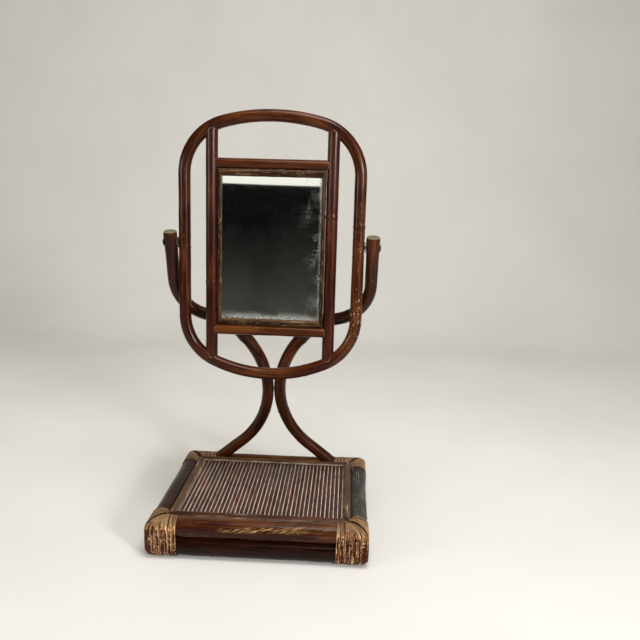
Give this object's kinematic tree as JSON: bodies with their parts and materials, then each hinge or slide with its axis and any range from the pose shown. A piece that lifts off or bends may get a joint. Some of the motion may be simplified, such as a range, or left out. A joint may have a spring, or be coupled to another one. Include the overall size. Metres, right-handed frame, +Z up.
{
  "type": "vanity mirror",
  "caption": "Rattan table mirror: an oblong glass in a bent cane frame swings between the arms of a yoke on two curved legs above a low reeded tray.",
  "frame": {"origin": "on the table, under the middle of the tray", "axes": "+Z up, +X to the right as seen by the user, +Y away from the user, who sits on the -Y side"},
  "size_m": [0.2608, 0.2072, 0.5026],
  "materials": {
    "rattan": "dark red-brown lacquer over rattan pole, worn",
    "cane": "split cane with most of its lacquer worn off",
    "reed": "dark lacquered half-round reeds, dusty between",
    "trim": "dark lacquered half-round strip",
    "moulding": "dark lacquered half-round strip, worn on its crown",
    "board": "bare thin plywood",
    "softwood": "bare softwood strip",
    "dowel": "bare hardwood dowel",
    "mirror": "silvered plate glass, hazy along its edges",
    "steel": "plain steel",
    "bolt": "dark painted steel"
  },
  "bodies": {
    "stand": {"tray_front_lower_pole": "rattan", "tray_front_upper_pole": "rattan", "tray_rear_lower_pole": "rattan", "tray_rear_upper_pole": "rattan", "tray_left_lower_pole": "rattan", "tray_left_upper_pole": "rattan", "tray_right_lower_pole": "rattan", "tray_right_upper_pole": "rattan", "leg_left": "rattan", "leg_right": "rattan", "yoke": "rattan", "corner_wrap_front_left": "cane", "corner_wrap_front_right": "cane", "corner_wrap_rear_left": "cane", "corner_wrap_rear_right": "cane", "panel_reeds": "reed", "panel_trim_front": "trim", "panel_trim_rear": "trim", "panel_trim_left": "trim", "panel_trim_right": "trim", "panel_board": "board", "panel_cleats": "softwood", "corner_nails": "steel", "pivot_washers": "steel", "foot_dowels": "dowel", "leg_dowel": "dowel", "yoke_dowels": "dowel"},
    "mirror": {"mirror_loop": "rattan", "mirror_post_left": "rattan", "mirror_post_right": "rattan", "mirror_rail_upper": "rattan", "mirror_rail_lower": "rattan", "post_dowels": "dowel", "rail_dowels": "dowel", "backing_brads": "steel", "mirror_glass": "mirror", "backing_board": "board", "glass_moulding_upper": "moulding", "glass_moulding_lower": "moulding", "glass_moulding_left": "moulding", "glass_moulding_right": "moulding", "pivot_bolt_left": "bolt", "pivot_bolt_right": "bolt"}
  },
  "joints": [
    {"name": "mirror_tilt", "type": "hinge", "parent": "stand", "child": "mirror", "pos_m": [0, 0.01285, 0.34724], "axis": [-1, 0, 0], "range_deg": [-5, 153]}
  ]
}
